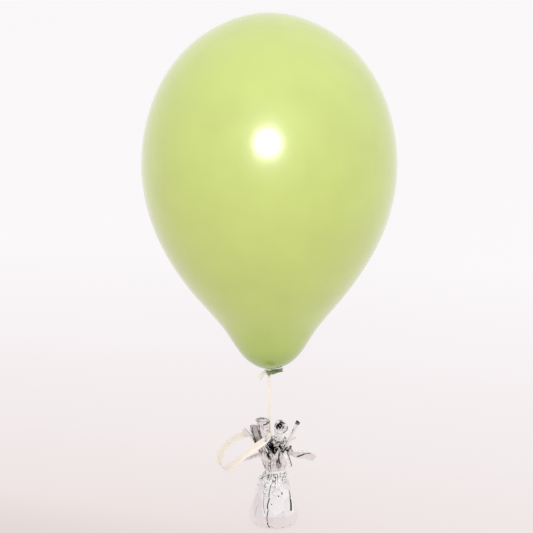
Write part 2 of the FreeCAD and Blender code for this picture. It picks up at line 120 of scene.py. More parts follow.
def make_lights(latex_pieces):
    """A softbox for the latex's highlight, which lights nothing else, and a key light that no gloss shows."""
    softbox = make_light("softbox", SOFTBOX_PLACE, LIGHT_AIM, SOFTBOX_WIDTH, SOFTBOX_POWER, shape="ELLIPSE")
    softbox.data.size_y = SOFTBOX_HEIGHT * MM
    softbox.visible_diffuse = False
    lit = bpy.data.collections.new("lit_by_softbox")
    for piece in latex_pieces:
        lit.objects.link(piece)
    softbox.light_linking.receiver_collection = lit
    key = make_light("key", KEY_PLACE, LIGHT_AIM, KEY_WIDTH, KEY_POWER)
    key.visible_glossy = False


def make_world():
    """A bright, even studio, a little dimmer low down and to the left."""
    world = bpy.data.worlds.new("studio")
    world.use_nodes = True
    tree = world.node_tree
    direction = separated(tree, tree.nodes.new("ShaderNodeTexCoord").outputs["Generated"])
    lift = mapped(tree, direction["Z"], -0.7, 0.8)
    colour = ramp(tree, lift, WORLD_COLOURS)
    across = mapped(tree, direction["X"], -1.0, 1.0, 0.93, 1.09)
    tree.links.new(scaled(tree, colour, across), tree.nodes["Background"].inputs["Color"])
    tree.nodes["Background"].inputs["Strength"].default_value = WORLD_STRENGTH
    bpy.context.scene.world = world


def make_stage():
    """A pale floor that sweeps up into a backdrop."""
    profile = [(FLOOR_FRONT, 0), (SWEEP_START, 0)]
    for step in range(1, SWEEP_STEPS + 1):
        angle = math.pi / 2 * step / SWEEP_STEPS
        profile.append((SWEEP_START + SWEEP_RADIUS * math.sin(angle), SWEEP_RADIUS * (1 - math.cos(angle))))
    profile.append((SWEEP_START + SWEEP_RADIUS, WALL_TOP))
    sides = (-PAPER_HALF_WIDTH, PAPER_HALF_WIDTH)
    rows = np.array([[(x, y, z - FLOOR_DROP) for x in sides] for y, z in profile])
    sweep = grid_piece("backdrop", rows, backdrop_material())


def backdrop_material():
    """White paper, lit partly by painted light of its own, which is a little pinker and darker towards the
    floor and the front and a little brighter to the right.
    """
    material, tree, shader = new_material("backdrop_paper")
    shader.inputs["Base Color"].default_value = (0.15, 0.15, 0.15, 1)
    shader.inputs["Roughness"].default_value = 0.9
    shader.inputs["Specular IOR Level"].default_value = 0.0
    place = separated(tree, object_coordinates(tree))
    upwards = place["Z"]
    for axis, share in (("Y", 0.15), ("X", 0.06)):
        mix = tree.nodes.new("ShaderNodeMath")
        mix.operation = "MULTIPLY_ADD"
        tree.links.new(place[axis], mix.inputs[0])
        mix.inputs[1].default_value = share
        tree.links.new(upwards, mix.inputs[2])
        upwards = mix.outputs[0]
    # Painted light: the backdrop glows by itself, darker and pinker low down
    colour = ramp(tree, mapped(tree, upwards, -0.02, 0.55), BACKDROP_COLOURS)
    tree.links.new(colour, shader.inputs["Emission Color"])
    shader.inputs["Emission Strength"].default_value = 1.0
    return material


# ---- Materials ----------------------------------------------------------------------------------


def new_material(name):
    material = bpy.data.materials.new(name)
    material.use_nodes = True
    tree = material.node_tree
    return material, tree, tree.nodes["Principled BSDF"]


def noise(tree, coordinates, scale, detail):
    """A noise texture over the object's own coordinates; scale is per metre."""
    texture = tree.nodes.new("ShaderNodeTexNoise")
    texture.inputs["Scale"].default_value = scale
    texture.inputs["Detail"].default_value = detail
    texture.inputs["Roughness"].default_value = 0.5
    tree.links.new(coordinates, texture.inputs["Vector"])
    return texture.outputs["Fac"]


def mapped(tree, value, low, high, to_low=0.0, to_high=1.0):
    """A value, with its range from low to high mapped onto the range from to_low to to_high."""
    node = tree.nodes.new("ShaderNodeMapRange")
    for socket, number in zip(("From Min", "From Max", "To Min", "To Max"), (low, high, to_low, to_high)):
        node.inputs[socket].default_value = number
    tree.links.new(value, node.inputs["Value"])
    return node.outputs["Result"]


def spread(tree, value, low, high):
    """The middle half of a 0..1 value, mapped onto a range."""
    return mapped(tree, value, 0.25, 0.75, low, high)


def noisy(tree, coordinates, scale, detail, low, high):
    """A number that wanders between about low and high."""
    return spread(tree, noise(tree, coordinates, scale, detail), low, high)


def ramp(tree, value, stops):
    """A colour that follows a value through its stops, each a position and a colour."""
    node = tree.nodes.new("ShaderNodeValToRGB")
    for position, _ in stops[1:-1]:
        node.color_ramp.elements.new(position)
    for element, (position, colour) in zip(node.color_ramp.elements, stops):
        element.position = position
        element.color = (*colour, 1)
    tree.links.new(value, node.inputs["Fac"])
    return node.outputs["Color"]


def scaled(tree, colour, factor):
    """A colour made lighter or darker by a factor."""
    node = tree.nodes.new("ShaderNodeVectorMath")
    node.operation = "SCALE"
    tree.links.new(colour, node.inputs[0])
    tree.links.new(factor, node.inputs["Scale"])
    return node.outputs[0]


def separated(tree, vector):
    """The X, Y and Z outputs of a vector."""
    node = tree.nodes.new("ShaderNodeSeparateXYZ")
    tree.links.new(vector, node.inputs[0])
    return node.outputs


def bump(tree, height, strength, distance, shader):
    node = tree.nodes.new("ShaderNodeBump")
    node.inputs["Strength"].default_value = strength
    node.inputs["Distance"].default_value = distance
    tree.links.new(height, node.inputs["Height"])
    tree.links.new(node.outputs["Normal"], shader.inputs["Normal"])


def object_coordinates(tree):
    return tree.nodes.new("ShaderNodeTexCoord").outputs["Object"]


# Latex colours, a deeper green low down partly because the latex is thick there and partly with painted
# shade, as (share of the way from the knot up to where the skin is stretched thinnest, colour)
LATEX_TONE_AND_SHADE = [
    (0.0, (0.20, 0.27, 0.105)), (0.05, (0.235, 0.355, 0.045)), (0.10, (0.315, 0.455, 0.062)),
    (0.20, (0.415, 0.56, 0.10)), (0.40, (0.495, 0.625, 0.13)), (1.0, (0.53, 0.645, 0.155)),
]


def latex_material():
    """Pearl latex: lime where it is stretched thin, a deeper green where it is thick at the neck, and darker
    low down with painted shade.
    """
    material, tree, shader = new_material("pearl_latex")
    where = object_coordinates(tree)
    lowest = (BALLOON_BOTTOM - 6) * MM
    highest = (BALLOON_BOTTOM + 0.42 * BALLOON_HEIGHT) * MM
    height = mapped(tree, separated(tree, where)["Z"], lowest, highest)
    # Painted shade: the colour darkens towards the knot beyond what the thicker latex gives
    colour = ramp(tree, height, LATEX_TONE_AND_SHADE)
    mottle = noisy(tree, where, 22, 3, 0.96, 1.04)
    flake = noisy(tree, where, 2600, 1, 0.97, 1.03)
    both = tree.nodes.new("ShaderNodeMath")
    both.operation = "MULTIPLY"
    tree.links.new(mottle, both.inputs[0])
    tree.links.new(flake, both.inputs[1])
    tree.links.new(scaled(tree, colour, both.outputs[0]), shader.inputs["Base Color"])
    tree.links.new(noisy(tree, where, 90, 3, 0.36, 0.44), shader.inputs["Roughness"])
    bump(tree, noise(tree, where, 700, 2), 0.04, 0.0003, shader)
    shader.inputs["Coat Weight"].default_value = 1.0
    shader.inputs["Coat Roughness"].default_value = 0.18
    shader.inputs["Coat IOR"].default_value = 1.6
    shader.inputs["Sheen Weight"].default_value = 0.16
    shader.inputs["Sheen Roughness"].default_value = 0.35
    return material


FOIL_COLOURS = [(0.0, (0.905, 0.893, 0.895)), (1.0, (0.975, 0.963, 0.965))]
RIBBON_COLOURS = [(0.0, (0.90, 0.85, 0.76)), (1.0, (0.95, 0.905, 0.82))]


def foil_material():
    """Bright metallised film: near-mirror, with faint handling marks and micro-crinkle. The mesh's fold value
    is painted shade: it darkens creases and hollows where shade and dark reflections fall."""
    material, tree, shader = new_material("silver_foil")
    where = object_coordinates(tree)
    shader.inputs["Metallic"].default_value = 1.0
    tint = ramp(tree, noise(tree, where, 180, 3), FOIL_COLOURS)
    painted_shade = tree.nodes.new("ShaderNodeAttribute")
    painted_shade.attribute_name = "painted_shade"
    # Painted shade: the base colour is darkened where the mesh marks creases and hollows
    painted_shade_factor = spread(tree, painted_shade.outputs["Fac"], 1.0, 0.06)
    tree.links.new(scaled(tree, tint, painted_shade_factor), shader.inputs["Base Color"])
    tree.links.new(noisy(tree, where, 260, 3, 0.05, 0.13), shader.inputs["Roughness"])
    cells = tree.nodes.new("ShaderNodeTexVoronoi")
    cells.feature = "DISTANCE_TO_EDGE"
    cells.inputs["Scale"].default_value = 420
    tree.links.new(where, cells.inputs["Vector"])
    bump(tree, cells.outputs["Distance"], 0.12, 0.0004, shader)
    return material


def ribbon_material():
    """Ivory curling ribbon: satin film with fine ribs along its length."""
    material, tree, shader = new_material("ivory_ribbon")
    where = object_coordinates(tree)
    tint = ramp(tree, noise(tree, where, 120, 2), RIBBON_COLOURS)
    tree.links.new(tint, shader.inputs["Base Color"])
    tree.links.new(noisy(tree, where, 300, 2, 0.3, 0.42), shader.inputs["Roughness"])
    uv = tree.nodes.new("ShaderNodeUVMap")
    uv.uv_map = "UVMap"
    ribs = tree.nodes.new("ShaderNodeTexWave")
    ribs.bands_direction = "X"
    ribs.inputs["Scale"].default_value = 3.5
    ribs.inputs["Distortion"].default_value = 0.3
    tree.links.new(uv.outputs["UV"], ribs.inputs["Vector"])
    bump(tree, ribs.outputs["Fac"], 0.03, 0.0002, shader)
    return material


def plain_material(name, dark, light, rough, metallic=0):
    """A quiet material for the pieces inside: two close tones, uneven gloss and a fine grain."""
    material, tree, shader = new_material(name)
    where = object_coordinates(tree)
    scale = 400
    tint = ramp(tree, noise(tree, where, scale, 4), [(0.0, dark), (1.0, light)])
    tree.links.new(tint, shader.inputs["Base Color"])
    gloss = noisy(tree, where, scale * 0.5, 2, rough - 0.06, rough + 0.06)
    tree.links.new(gloss, shader.inputs["Roughness"])
    bump(tree, noise(tree, where, scale * 3, 3), 0.15, 0.0003, shader)
    shader.inputs["Metallic"].default_value = metallic
    return material


# ---- Mesh helpers -------------------------------------------------------------------------------


def grid_piece(name, rows, material, wrap_columns=False, wrap_rows=False, uv=None, painted_shade=None, caps=()):
    """A mesh from rows of points in millimetres. caps closes the first and/or last row with one face; fold,
    the foil's painted shade for shade and dark reflections in its creases, is how dark the foil is at each
    point, from 0 to 1."""
    rows = np.asarray(rows, dtype=float)
    count, across = rows.shape[:2]
    points = rows.reshape(-1, 3) * MM
    last_row = count if wrap_rows else count - 1
    last_column = across if wrap_columns else across - 1
    faces = []
    for i in range(last_row):
        below = i * across
        above = ((i + 1) % count) * across
        for j in range(last_column):
            k = (j + 1) % across
            faces.append((below + j, below + k, above + k, above + j))
    if "first" in caps:
        faces.append(tuple(range(across - 1, -1, -1)))
    if "last" in caps:
        faces.append(tuple(range((count - 1) * across, count * across)))
    mesh = bpy.data.meshes.new(name)
    mesh.from_pydata(points.tolist(), [], faces)
    if uv is not None:
        layer = mesh.uv_layers.new(name="UVMap")
        flat = np.asarray(uv, dtype=float).reshape(-1, 2)
        for loop in mesh.loops:
            layer.data[loop.index].uv = flat[loop.vertex_index]
    if painted_shade is not None:
        darkness = mesh.attributes.new("painted_shade", "FLOAT", "POINT")
        darkness.data.foreach_set("value", np.ravel(painted_shade).astype(np.float32))
    mesh.validate()
    for polygon in mesh.polygons:
        polygon.use_smooth = True
    mesh.materials.append(material)
    piece = bpy.data.objects.new(name, mesh)
    bpy.context.collection.objects.link(piece)
    return piece


def thicken(piece, thickness):
    """Gives a sheet its thickness, half to each side."""
    solid = piece.modifiers.new("thickness", "SOLIDIFY")
    solid.thickness = thickness * MM
    solid.offset = 0


def unit(v):
    v = np.asarray(v, dtype=float)
    return v / np.maximum(np.linalg.norm(v, axis=-1, keepdims=True), 1e-12)


def smooth_step(x, low, high):
    t = np.clip((x - low) / (high - low), 0, 1)
    return t * t * (3 - 2 * t)


def within(x, low, high, soft):
    """1 between low and high, 0 outside, fading over soft on each side of both."""
    return smooth_step(x, low - soft, low + soft) * (1 - smooth_step(x, high - soft, high + soft))


def distances(line):
    """How far along a line each of its points is."""
    return np.concatenate([[0], np.cumsum(np.linalg.norm(np.diff(line, axis=0), axis=1))])


def clamped_spline(points, start_slope, end_slope, samples):
    """A smooth curve through points with given end directions, by the length of its chords."""
    points = np.asarray(points, dtype=float)
    along = distances(points)
    step = np.diff(along)
    size = len(points)
    matrix = np.zeros((size, size))
    right = np.zeros_like(points)
    matrix[0, 0] = matrix[-1, -1] = 1
    right[0], right[-1] = start_slope, end_slope
    for i in range(1, size - 1):
        matrix[i, i - 1] = step[i]
        matrix[i, i] = 2 * (step[i - 1] + step[i])
        matrix[i, i + 1] = step[i - 1]
        before = (points[i] - points[i - 1]) / step[i - 1]
        after = (points[i + 1] - points[i]) / step[i]
        right[i] = 3 * (step[i] * before + step[i - 1] * after)
    slopes = np.linalg.solve(matrix, right)
    where = np.linspace(0, along[-1], samples)
    span = np.clip(np.searchsorted(along, where, side="right") - 1, 0, size - 2)
    t = ((where - along[span]) / step[span])[:, None]
    width = step[span][:, None]
    return (
        (2 * t**3 - 3 * t**2 + 1) * points[span] + (t**3 - 2 * t**2 + t) * width * slopes[span]
        + (3 * t**2 - 2 * t**3) * points[span + 1] + (t**3 - t**2) * width * slopes[span + 1]
    )


def nurbs_line(name, points, resolution=24):
    """Points read from an open NURBS spline of order 3 with these control points, in millimetres."""
    curve = bpy.data.curves.new(name, "CURVE")
    curve.dimensions = "3D"
    spline = curve.splines.new("NURBS")
    spline.points.add(len(points) - 1)
    for target, point in zip(spline.points, points):
        target.co = (*(np.asarray(point) * MM), 1)
    spline.order_u = 3
    spline.use_endpoint_u = True
    spline.resolution_u = resolution
    holder = bpy.data.objects.new(name, curve)
    bpy.context.collection.objects.link(holder)
    bpy.context.view_layer.update()
    mesh = bpy.data.meshes.new_from_object(holder)
    line = np.array([v.co[:] for v in mesh.vertices]) / MM
    bpy.data.objects.remove(holder)
    bpy.data.meshes.remove(mesh)
    return line


def even(line, spacing):
    """The same line with points a set distance apart."""
    line = np.asarray(line, dtype=float)
    along = distances(line)
    where = np.linspace(0, along[-1], max(3, int(round(along[-1] / spacing)) + 1))
    return np.stack([np.interp(where, along, line[:, k]) for k in range(3)], axis=1)


def carried_frames(line, first_side):
    """Tangent, side and normal at each point, carried along without twisting."""
    tangent = unit(np.gradient(line, axis=0))
    side = np.zeros_like(line)
    current = np.asarray(first_side, dtype=float)
    for i, t in enumerate(tangent):
        current = current - t * np.dot(current, t)
        current = current / np.linalg.norm(current)
        side[i] = current
    return tangent, side, np.cross(tangent, side)


def facets(u, v, cell, seed, tilt, period=None):
    """A crumpled sheet's height, in the units of cell: tilted facets that meet in sharp creases."""
    rng = np.random.default_rng(seed)
    low_u, high_u = (0, period) if period else (u.min() - cell, u.max() + cell)
    low_v, high_v = v.min() - cell, v.max() + cell
    columns = max(2, int(round((high_u - low_u) / cell)))
    lines = max(2, int(round((high_v - low_v) / cell)))
    grid_u, grid_v = np.meshgrid((np.arange(columns) + 0.5) / columns, (np.arange(lines) + 0.5) / lines)
    seeds_u = grid_u.ravel() * (high_u - low_u) + low_u
    seeds_v = grid_v.ravel() * (high_v - low_v) + low_v
    seeds = np.stack([seeds_u, seeds_v], axis=1)
    seeds = seeds + rng.uniform(-0.48, 0.48, seeds.shape) * cell
    slopes = rng.uniform(-tilt, tilt, seeds.shape)
    lift = rng.uniform(-0.12, 0.12, len(seeds)) * cell
    if period:
        seeds = np.concatenate([seeds + (shift, 0) for shift in (-period, 0, period)])
        slopes = np.tile(slopes, (3, 1))
        lift = np.tile(lift, 3)
    flat_u, flat_v = u.ravel(), v.ravel()
    height = np.full(flat_u.shape, np.inf)
    for (seed_u, seed_v), (slope_u, slope_v), rise in zip(seeds, slopes, lift):
        du, dv = flat_u - seed_u, flat_v - seed_v
        height = np.minimum(height, rise + slope_u * du + slope_v * dv + (du * du + dv * dv) * 0.42 / cell)
    height = height.reshape(u.shape)
    return height - height.mean()


def sharp_lines(push, reach, low, high, wrap=True):
    """How sharply a sheet is creased at each point, 0 to 1: its height against its neighbours' average."""
    mean = np.array(push, dtype=float)
    for axis, size in ((0, reach[0]), (1, reach[1])):
        around = [(0, 0), (0, 0)]
        around[axis] = (size, size)
        padded = np.pad(mean, around, mode="wrap" if wrap and axis == 1 else "edge")
        span = mean.shape[axis]
        count = 2 * size + 1
        mean = sum(np.take(padded, np.arange(k, k + span), axis=axis) for k in range(count)) / count
    return smooth_step(np.abs(mean - push), low, high)


def patches(u, v, cell, seed):
    """A slow wandering value from 0 to 1, for painted shade and crumpling that come and go."""
    wander = np.sin(u / cell * 2.1 + seed) + np.sin(v / cell * 1.7 + 2.3 * seed)
    wander = wander + np.sin((u + v) / cell * 1.3 + 0.7 * seed)
    return np.clip(0.5 + wander / 3.6, 0, 1)


def fold_wave(x, seed, count):
    """Irregular gathers round a full turn: sharp valleys and rounded hills, 0 to 1; x in turns."""
    rng = np.random.default_rng(seed)
    edges = np.cumsum(rng.uniform(0.6, 1.4, count))
    edges = np.concatenate([[0], edges / edges[-1]])
    deep = rng.uniform(0.55, 1.0, count)
    wrapped = np.mod(x, 1.0)
    index = np.clip(np.searchsorted(edges, wrapped, side="right") - 1, 0, count - 1)
    local = (wrapped - edges[index]) / (edges[index + 1] - edges[index])
    return deep[index] * np.sqrt(np.maximum(0, 1 - (2 * local - 1) ** 2))


# ---- Balloon ------------------------------------------------------------------------------------

# Envelope outline: shares of the balloon's height and of its greatest radius, from the neck up
ENVELOPE_OUTLINE = [
    (0.025, 0.186), (0.069, 0.286), (0.111, 0.360), (0.194, 0.549),
    (0.390, 0.893), (0.545, 0.996), (0.877, 0.709), (0.939, 0.514),
]
NECK_RADIUS = 2.4
# How far the lower skin leans to the right, and the heights above its bottom between which that fades away
SKIN_LEAN, LEAN_LOW, LEAN_HIGH = 1.4, 25, 120
PLEAT_SEED, PLEAT_COUNT = 5, 19


def make_envelope(latex):
    """The inflated skin: one smooth turned surface, gathered into fine pleats where it meets the neck."""
    points = [(NECK_RADIUS, BALLOON_BOTTOM)]
    points += [(out * BALLOON_RADIUS, BALLOON_BOTTOM + up * BALLOON_HEIGHT) for up, out in ENVELOPE_OUTLINE]
    points += [(0, BALLOON_BOTTOM + BALLOON_HEIGHT)]
    outline = clamped_spline(points, (1, 0), (-1, 0), 260)[:-1]
    turns = np.linspace(0, 1, 256, endpoint=False)
    radius = outline[:, 0][:, None]
    height = outline[:, 1][:, None]
    pleat = fold_wave(turns, PLEAT_SEED, PLEAT_COUNT)[None, :] - 0.5
    near_neck = np.exp(-((radius - NECK_RADIUS) / 7.0) ** 2) * (height < BALLOON_BOTTOM + 20)
    height = height - 0.55 * near_neck * pleat
    angle = 2 * np.pi * turns[None, :]
    low = 1 - smooth_step(height, BALLOON_BOTTOM + LEAN_LOW, BALLOON_BOTTOM + LEAN_HIGH)
    lean = SKIN_LEAN * smooth_step(radius, 4, 22) * low
    rows = np.stack([
        BALLOON_X + lean + radius * np.cos(angle), BALLOON_Y + radius * np.sin(angle), height + 0 * angle,
    ], axis=-1)
    skin = grid_piece("balloon_skin", rows, latex, wrap_columns=True, caps=("last",))
    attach(skin, "balloon")
    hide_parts("balloon_envelope")
    return skin


def make_neck(latex):
    """The gathered neck between the skin and the knot."""
    levels = np.linspace(0, 1, 14)
    turns = np.linspace(0, 1, 96, endpoint=False)
    pleat = fold_wave(turns, PLEAT_SEED, PLEAT_COUNT)[None, :]
    radius = (NECK_RADIUS + 0.9 * (2 * levels[:, None] - 1) ** 2 - 0.35) * (0.8 + 0.25 * pleat)
    height = BALLOON_BOTTOM + 0.8 - levels[:, None] * 4.6
    angle = 2 * np.pi * turns[None, :]
    rows = np.stack([
        BALLOON_X + radius * np.cos(angle), BALLOON_Y + radius * np.sin(angle), height + 0 * angle,
    ], axis=-1)
    neck = grid_piece("gathered_neck", rows, latex, wrap_columns=True, caps=("first", "last"))
    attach(neck, "balloon")
    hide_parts("balloon_neck")


def rings(line, size, side, normal, angle):
    """Rings of points round a line, each of them size from it."""
    return (
        line[:, None, :] + size * np.cos(angle)[None, :, None] * side[:, None, :]
        + size * np.sin(angle)[None, :, None] * normal[:, None, :]
    )


def overhand(t):
    """The line of a simple knot, which reaches 1 each way along each axis."""
    return np.stack([
        (np.sin(t) + 2 * np.sin(2 * t)) / 3, -np.sin(3 * t), (np.cos(t) - 2 * np.cos(2 * t)) / 3,
    ], axis=1)


KNOT_TUBE_RADIUS = 1.5


def make_knot(latex):
    """The tied knot: the neck's own tube passed over and through itself and pulled tight."""
    centre = (KNOT_LOW + KNOT_HIGH) / 2
    half = (KNOT_HIGH - KNOT_LOW) / 2
    t = np.linspace(0, 2 * np.pi, 150, endpoint=False)
    line = centre + overhand(t) * (half - 1.45) * np.array([0.95, 0.85, 0.95])
    closed = np.concatenate([line, line[:1]])
    tangent = unit(np.gradient(closed, axis=0))[:-1]
    outwards = unit(line - centre)
    side = unit(np.cross(tangent, outwards))
    normal = np.cross(side, tangent)
    angle = np.linspace(0, 2 * np.pi, 20, endpoint=False)
    crease = 1 + 0.1 * np.sin(5 * angle)[None, :] * np.sin(3 * t)[:, None]
    rows = rings(line, KNOT_TUBE_RADIUS * crease[..., None], side, normal, angle)
    knot = grid_piece("latex_knot", rows, latex, wrap_columns=True, wrap_rows=True)
    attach(knot, "balloon")
    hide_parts("neck_knot")
    return knot


TAIL_RISE = math.radians(14.0)
MOUTH_HALF_WIDTH, LIP_RADIUS = 8.3, 0.62


def tail_axes():
    """The tail's start, and its forward, flat and thin directions."""
    low, high = box_mm("neck_tail")
    lip_low, lip_high = box_mm("rolled_lip")
    forward = np.array([math.cos(TAIL_RISE), 0, math.sin(TAIL_RISE)])
    thin = np.array([-math.sin(TAIL_RISE), 0, math.cos(TAIL_RISE)])
    flat = np.array([0.0, 1.0, 0.0])
    middle_y = (low[1] + high[1]) / 2
    mouth = np.array([(lip_low[0] + lip_high[0]) / 2, middle_y, (lip_low[2] + lip_high[2]) / 2])
    length = (high[0] - low[0]) / math.cos(TAIL_RISE)
    return mouth - forward * length, forward, flat, thin, length


def mouth_outline(count):
    """The lip's outline across the tail: a flattened loop with a slight wave."""
    angle = np.linspace(0, 2 * np.pi, count, endpoint=False)
    wide = MOUTH_HALF_WIDTH * np.cos(angle)
    thick = 0.6 * np.sin(angle) + 0.35 * np.sin(1.7 * np.cos(angle) * np.pi * 0.5)
    return angle, wide, thick


def make_tail(latex):
    """The flattened tail that spreads from the knot to its mouth, gathered at the knot."""
    start, forward, flat, thin, length = tail_axes()
    angle, wide, thick = mouth_outline(120)
    levels = np.linspace(-0.12, 1, 34)
    rows = []
    for level in levels:
        open_share = smooth_step(level, -0.1, 1.0)
        gathers = (1 - open_share) * 0.22 * np.sin(11 * angle)
        across = (2.3 * np.cos(angle)) * (1 - open_share) + wide * open_share
        up = (2.1 * np.sin(angle)) * (1 - open_share) + thick * open_share
        centre = start + forward * length * level
        across = np.outer(across * (1 + gathers), flat)
        rows.append(centre + across + np.outer(up * (1 + gathers * 1.5), thin))
    tail = grid_piece("latex_tail", rows, latex, wrap_columns=True)
    thicken(tail, 0.4)
    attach(tail, "balloon")
    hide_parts("neck_tail")
    return tail


def make_lip(latex):
    """The rolled bead round the mouth."""
    start, forward, flat, thin, length = tail_axes()
    angle, wide, thick = mouth_outline(160)
    line = start + forward * (length + 0.3) + np.outer(wide, flat) + np.outer(thick, thin)
    closed = np.concatenate([line[-1:], line, line[:1]])
    tangent = unit(closed[2:] - closed[:-2])
    side = np.broadcast_to(forward, line.shape)
    normal = unit(np.cross(tangent, side))
    around = np.linspace(0, 2 * np.pi, 16, endpoint=False)
    size = LIP_RADIUS * (1 + 0.06 * np.sin(9 * angle))[:, None, None]
    rows = rings(line, size, side, normal, around)
    lip = grid_piece("latex_lip", rows, latex, wrap_columns=True, wrap_rows=True)
    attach(lip, "balloon")
    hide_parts("rolled_lip")
    return lip


# ---- Ribbon -------------------------------------------------------------------------------------

RIBBON_WIDTH, STRAND_WIDTH, TAG_WIDTH = 5.0, 3.6, 4.8
RIBBON_THICKNESS = 0.3


def ribbon_piece(name, line, side, material, width, cup=0.0):
    """A flat ribbon along a line, its width along side at each point; cup bows it across."""
    line = np.asarray(line, dtype=float)
    side = unit(side)
    tangent = unit(np.gradient(line, axis=0))
    side = unit(side - tangent * np.sum(side * tangent, axis=1, keepdims=True))
    normal = np.cross(tangent, side)
    share = np.array([-1, -0.97, -0.6, 0, 0.6, 0.97, 1, 0.97, 0.6, 0, -0.6, -0.97])
    face = np.array([0, 1, 1, 1, 1, 1, 0, -1, -1, -1, -1, -1])
    across = share * width / 2
    through = face * RIBBON_THICKNESS / 2 + cup * (1 - share**2)
    rows = (
        line[:, None, :] + across[None, :, None] * side[:, None, :]
        + through[None, :, None] * normal[:, None, :]
    )
    along = distances(line)
    grid = (len(line), len(share))
    uv = np.stack([np.broadcast_to(share, grid), np.broadcast_to(along[:, None] / width, grid)], axis=-1)
    piece = grid_piece(name, rows, material, wrap_columns=True, uv=uv, caps=("first", "last"))
    piece.data.set_sharp_from_angle(angle=math.radians(50))
    return piece


# The vertical ribbon's route, from its knot at the hook to its knot at the neck
STRAND_ROUTE = [
    (-5.8, 0.0, 107.8), (-5.8, 0.05, 122.0), (-5.8, -0.1, 140.0), (-5.8, 0.0, 158.0), (-5.8, 0.0, 180.2),
]
# The short free end's route, away from the knot at the neck
TAG_ROUTE = [
    (-6.3, 0.9, 179.3), (-8.8, 1.2, 178.0), (-12.2, 0.9, 174.9), (-15.0, 0.6, 171.6), (-17.6, 0.8, 168.6),
]


def make_strand(ribbon):
    """The vertical ribbon, pulled straight by the balloon; it twists where the balloon turns on it."""
    line = even(nurbs_line("strand_route", STRAND_ROUTE), 0.5)
    twist = np.radians(16) * np.sin((line[:, 2] - line[0, 2]) / (line[-1, 2] - line[0, 2]) * math.pi)
    side = np.stack([np.cos(twist), np.sin(twist), 0 * twist], axis=1)
    strand = ribbon_piece("ribbon_strand", line, side, ribbon, width=STRAND_WIDTH)
    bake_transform(strand)
    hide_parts("ribbon_line", "ribbon_upper")


# The coil lies round a centre; its plane droops away from the hook and tips down at the front
RING_DROOP = math.radians(29.0)
RING_TIP = math.radians(10.0)
RING_AWAY = np.array([-math.cos(RING_DROOP), 0, -math.sin(RING_DROOP)])
RING_FRONT = np.array([0, -math.cos(RING_TIP), -math.sin(RING_TIP)])
RING_UP = unit(np.cross(RING_AWAY, RING_FRONT))
RING_CENTRE = np.array([-33.5, 0.0, 91.0])
RING_HALF_LENGTH, RING_HALF_WIDTH = 35.0, 26.5

# The coil, as (turns from the hook, share of the half length and half width, height off the coil's plane)
RING_SHAPE = [
    (0.06, 1.02, 1.8), (0.13, 1.01, 3.3), (0.2, 1.02, 5.2), (0.26, 1.07, 3.4), (0.32, 1.06, -1.1),
    (0.35, 1.07, -3.6), (0.39, 1.07, -5.0), (0.43, 1.06, -4.3), (0.48, 1.03, -1.2), (0.52, 0.98, 2.9),
    (0.57, 0.95, 5.4), (0.62, 0.945, 6.2), (0.69, 0.965, 6.0), (0.77, 0.95, 3.3), (0.88, 0.86, 1.5),
    (1.0, 0.93, 0.6), (1.06, 0.97, -1.4), (1.13, 0.97, -0.7), (1.2, 0.98, 0.2), (1.26, 1.0, -0.9),
    (1.32, 1.01, -4.9), (1.36, 1.03, -7.6), (1.43, 1.03, -8.0), (1.5, 1.0, -4.5), (1.58, 0.99, 0.6),
    (1.7, 0.96, 2.0), (1.8, 0.93, -0.6), (1.92, 0.93, -2.2), (2.02, 0.95, -5.0),
]


def make_ring(ribbon):
    """The loose coil of spare ribbon, whose turns differ in size and fan out."""
    shape = np.array(RING_SHAPE)
    turns = np.arange(shape[0, 0], shape[-1, 0], 1 / 20)
    size, rise = (np.interp(turns, shape[:, 0], shape[:, k]) for k in (1, 2))
    angle = 2 * np.pi * turns
    points = (
        RING_CENTRE - np.outer(RING_HALF_LENGTH * size * np.cos(angle), RING_AWAY)
        + np.outer(RING_HALF_WIDTH * size * np.sin(angle), RING_FRONT) + np.outer(rise, RING_UP)
    )
    start = [(-5.2, -1.8, 106.6), (-3.6, -4.2, 107.8), (-2.9, -8.0, 108.2)]
    line = even(nurbs_line("ring_route", np.concatenate([start, points]), 12), 0.8)
    outwards = unit(line - RING_CENTRE)
    lean = 0.3 * np.sin(np.linspace(0, 9, len(line)))[:, None] + 0.1
    side = RING_UP[None, :] + outwards * lean
    ring = ribbon_piece("ribbon_coil", line, side, ribbon, width=RIBBON_WIDTH)
    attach(ring, "weight")
    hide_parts("ribbon_ring")


